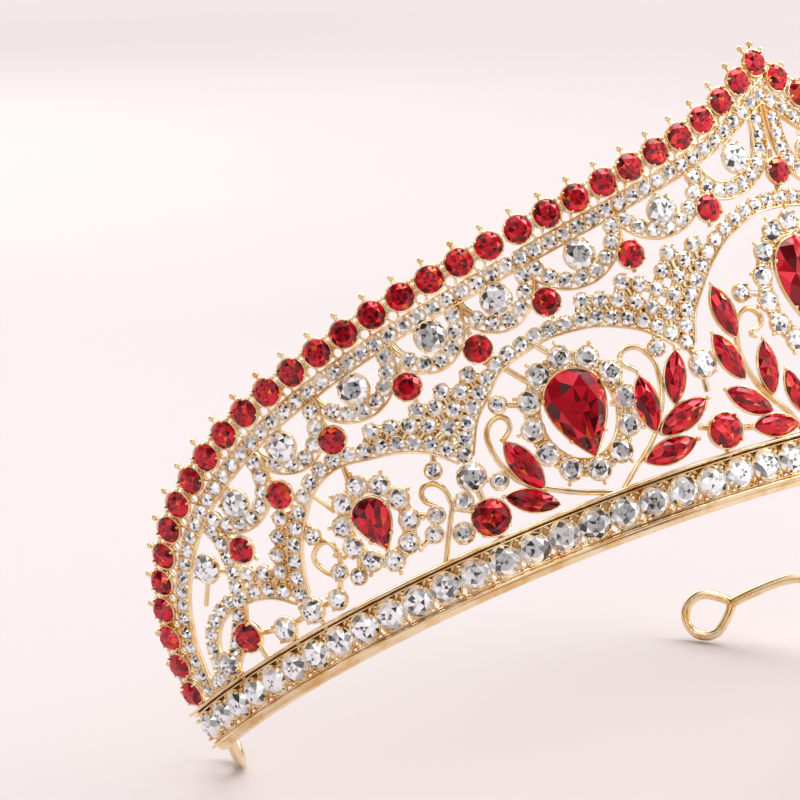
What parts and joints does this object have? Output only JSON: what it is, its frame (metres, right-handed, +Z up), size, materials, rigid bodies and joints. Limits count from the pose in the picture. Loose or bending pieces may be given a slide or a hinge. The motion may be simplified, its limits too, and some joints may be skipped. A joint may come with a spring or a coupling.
{
  "type": "tiara",
  "caption": "Openwork tiara with a peaked border of round red stones, red pear stones in clear halos, leaf sprays, and a wire base ending in two loops.",
  "frame": {"origin": "centre of the circle that the middle line of the stone-set band follows, where the wearer's head fills the crown", "axes": "+X towards the crown's left-hand band end as seen from behind it (the wearer's left), -Y towards its front, +Z up; the band's plane is tipped back 36.2 degrees about X, front raised, as the crown is worn"},
  "size_m": [0.1574, 0.0887, 0.1165],
  "materials": {
    "gold": "polished pale gold plate on cast alloy",
    "wire": "satin pale gold plate on drawn wire",
    "red_stone": "foil-backed faceted deep red glass or resin",
    "clear_stone": "foil-backed faceted clear glass or resin"
  },
  "bodies": {
    "root": {"base_wire": "wire", "front_band": "gold", "front_band_stones": "clear_stone", "front_border": "gold", "front_lace": "gold", "front_halo": "gold", "front_pear": "red_stone", "left_band": "gold", "left_band_stones": "clear_stone", "left_border": "gold", "left_lace": "gold", "left_end_arch": "gold", "left_end_web": "gold", "left_middle_web": "gold", "left_front_web": "gold", "left_middle_halo": "gold", "left_middle_pear": "red_stone", "left_end_halo": "gold", "left_end_pear": "red_stone", "left_front_spray": "red_stone", "left_fern_spray": "red_stone", "left_bud_spray": "red_stone", "left_red_berry_1": "red_stone", "left_red_berry_2": "red_stone", "left_red_berry_3": "red_stone", "left_clear_berry_1": "clear_stone", "left_clear_berry_2": "clear_stone", "left_clear_berry_3": "clear_stone", "left_clear_berry_4": "clear_stone", "left_clear_berry_5": "clear_stone", "right_band": "gold", "right_band_stones": "clear_stone", "right_border": "gold", "right_lace": "gold", "right_end_arch": "gold", "right_end_web": "gold", "right_middle_web": "gold", "right_front_web": "gold", "right_middle_halo": "gold", "right_middle_pear": "red_stone", "right_end_halo": "gold", "right_end_pear": "red_stone", "right_front_spray": "red_stone", "right_fern_spray": "red_stone", "right_bud_spray": "red_stone", "right_red_berry_1": "red_stone", "right_red_berry_2": "red_stone", "right_red_berry_3": "red_stone", "right_clear_berry_1": "clear_stone", "right_clear_berry_2": "clear_stone", "right_clear_berry_3": "clear_stone", "right_clear_berry_4": "clear_stone", "right_clear_berry_5": "clear_stone"}
  },
  "joints": []
}
